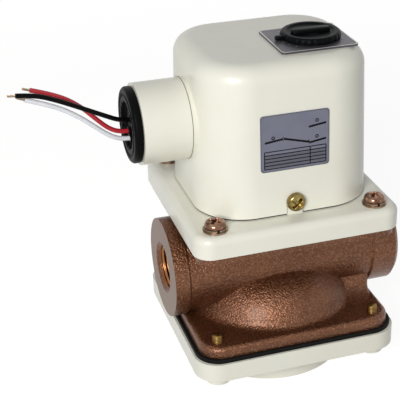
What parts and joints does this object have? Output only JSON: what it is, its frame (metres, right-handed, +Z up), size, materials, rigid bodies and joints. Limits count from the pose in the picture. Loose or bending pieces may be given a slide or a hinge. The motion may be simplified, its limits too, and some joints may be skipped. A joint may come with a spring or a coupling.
{
  "type": "paddle flow switch",
  "caption": "In-line paddle flow switch: cast bronze body with threaded ports, painted switch housing on a flanged base, setting knob on top and three flying leads from a side socket.",
  "frame": {"origin": "centre of the bottom cover's foot face", "axes": "+Z up through the bellows and cover, +X along the ports towards the outlet, the label faces -Y, the leads leave towards -X"},
  "size_m": [0.1534, 0.0866, 0.1452],
  "materials": {
    "cast_bronze": "rough sand-cast bronze, machined port faces",
    "cream_paint_bottom": "cream enamel on casting",
    "gasket_rubber": "matt black sheet rubber",
    "brass_screws": "plain brass",
    "cream_paint": "cream gloss enamel on die casting",
    "bronze_screws": "plated screw, coppery",
    "washer_plate": "plated steel washer",
    "washer_plate_split": "plated spring steel",
    "seal_rubber": "thin black rubber",
    "cream_paint_cover": "cream gloss enamel",
    "zinc_yellow": "yellow zinc plated screw",
    "cream_paint_socket": "cream gloss enamel",
    "locknut_steel": "zinc plated steel",
    "grommet_rubber": "black moulded rubber",
    "lead_black_pvc": "black insulation",
    "lead_red_pvc": "red insulation",
    "lead_white_pvc": "white insulation",
    "label_foil": "printed grey foil, satin",
    "dial_plate": "dark anodised plate, satin",
    "knob_plastic": "black moulded plastic",
    "spindle_brass": "turned brass",
    "bush_brass": "turned brass",
    "spindle_rubber": "black rubber ring",
    "seat_brass": "turned brass",
    "spring_steel": "spring steel wire",
    "frame_zinc": "zinc plated sheet",
    "frame_screw_zinc": "zinc plated",
    "pin_steel": "ground steel",
    "clip_steel": "spring steel",
    "stop_screw_steel": "zinc plated",
    "stop_nut_steel": "zinc plated",
    "lever_zinc": "zinc plated sheet",
    "contact_brass": "turned brass",
    "contact_nut_brass": "turned brass",
    "stem_stainless": "stainless rod",
    "stem_nut_stainless": "stainless",
    "paddle_stainless": "stainless sheet",
    "paddle_screw_stainless": "stainless",
    "bellows_bronze": "formed phosphor bronze",
    "ring_brass": "turned brass",
    "ring_gasket_rubber": "sheet rubber",
    "cap_brass": "turned brass",
    "switch_phenolic": "moulded phenolic case",
    "plunger_plastic": "moulded plunger",
    "terminal_brass": "tinned brass tabs",
    "micro_screw_zinc": "zinc plated",
    "inner_lead_black_pvc": "black insulation",
    "inner_lead_red_pvc": "red insulation",
    "inner_lead_white_pvc": "white insulation"
  },
  "bodies": {
    "casing": {"flow_body": "cast_bronze", "bottom_cover": "cream_paint_bottom", "bottom_gasket": "gasket_rubber", "bottom_cover_screws": "brass_screws", "switch_base": "cream_paint", "base_screws": "bronze_screws", "flat_washers": "washer_plate", "spring_washers": "washer_plate_split", "cover_seal": "seal_rubber", "switch_cover": "cream_paint_cover", "cover_screws": "zinc_yellow", "conduit_socket": "cream_paint_socket", "socket_locknut": "locknut_steel", "lead_grommet": "grommet_rubber", "lead_black": "lead_black_pvc", "lead_red": "lead_red_pvc", "lead_white": "lead_white_pvc", "circuit_label": "label_foil", "dial_plate": "dial_plate", "adjuster_bush": "bush_brass", "spindle_seal": "spindle_rubber", "range_spring": "spring_steel", "switch_frame": "frame_zinc", "frame_screws": "frame_screw_zinc", "pivot_pins": "pin_steel", "pin_clips": "clip_steel", "stop_screw": "stop_screw_steel", "stop_nut": "stop_nut_steel", "bellows": "bellows_bronze", "bellows_ring": "ring_brass", "ring_gasket": "ring_gasket_rubber", "microswitch": "switch_phenolic", "switch_terminals": "terminal_brass", "microswitch_screws": "micro_screw_zinc", "inner_lead_black": "inner_lead_black_pvc", "inner_lead_red": "inner_lead_red_pvc", "inner_lead_white": "inner_lead_white_pvc"},
    "adjuster": {"setting_knob": "knob_plastic", "adjusting_screw": "spindle_brass"},
    "spring_carrier": {"spring_seat": "seat_brass"},
    "paddle_lever": {"lever_yoke": "lever_zinc", "paddle_stem": "stem_stainless", "stem_nut": "stem_nut_stainless", "bellows_cap": "cap_brass", "contact_screw": "contact_brass", "contact_nut": "contact_nut_brass", "paddle": "paddle_stainless", "paddle_screws": "paddle_screw_stainless"},
    "plunger": {"switch_plunger": "plunger_plastic"}
  },
  "joints": [
    {"name": "knob_turn", "type": "hinge", "parent": "casing", "child": "adjuster", "pos_m": [0.0165, -0.0055, 0.1419], "axis": [0, 0, 1], "range_deg": [0, 270]},
    {"name": "seat_slide", "type": "slide", "parent": "casing", "child": "spring_carrier", "axis": [0, 0, -1], "range_m": [0, 0.003], "deforming": ["range_spring"]},
    {"name": "paddle_swing", "type": "hinge", "parent": "casing", "child": "paddle_lever", "pos_m": [0, 0, 0.084], "axis": [0, -1, 0], "range_deg": [0, 8], "stiffness_Nm_per_rad": 0.4, "deforming": ["bellows"]},
    {"name": "plunger_slide", "type": "slide", "parent": "casing", "child": "plunger", "axis": [0, 0, -1], "range_m": [0, 0.00195]}
  ],
  "couplings": [
    {"joint": "knob_turn", "follows": "seat_slide", "rad_per_m": 1570.8},
    {"joint": "paddle_swing", "follows": "plunger_slide", "rad_per_m": 71.58}
  ]
}
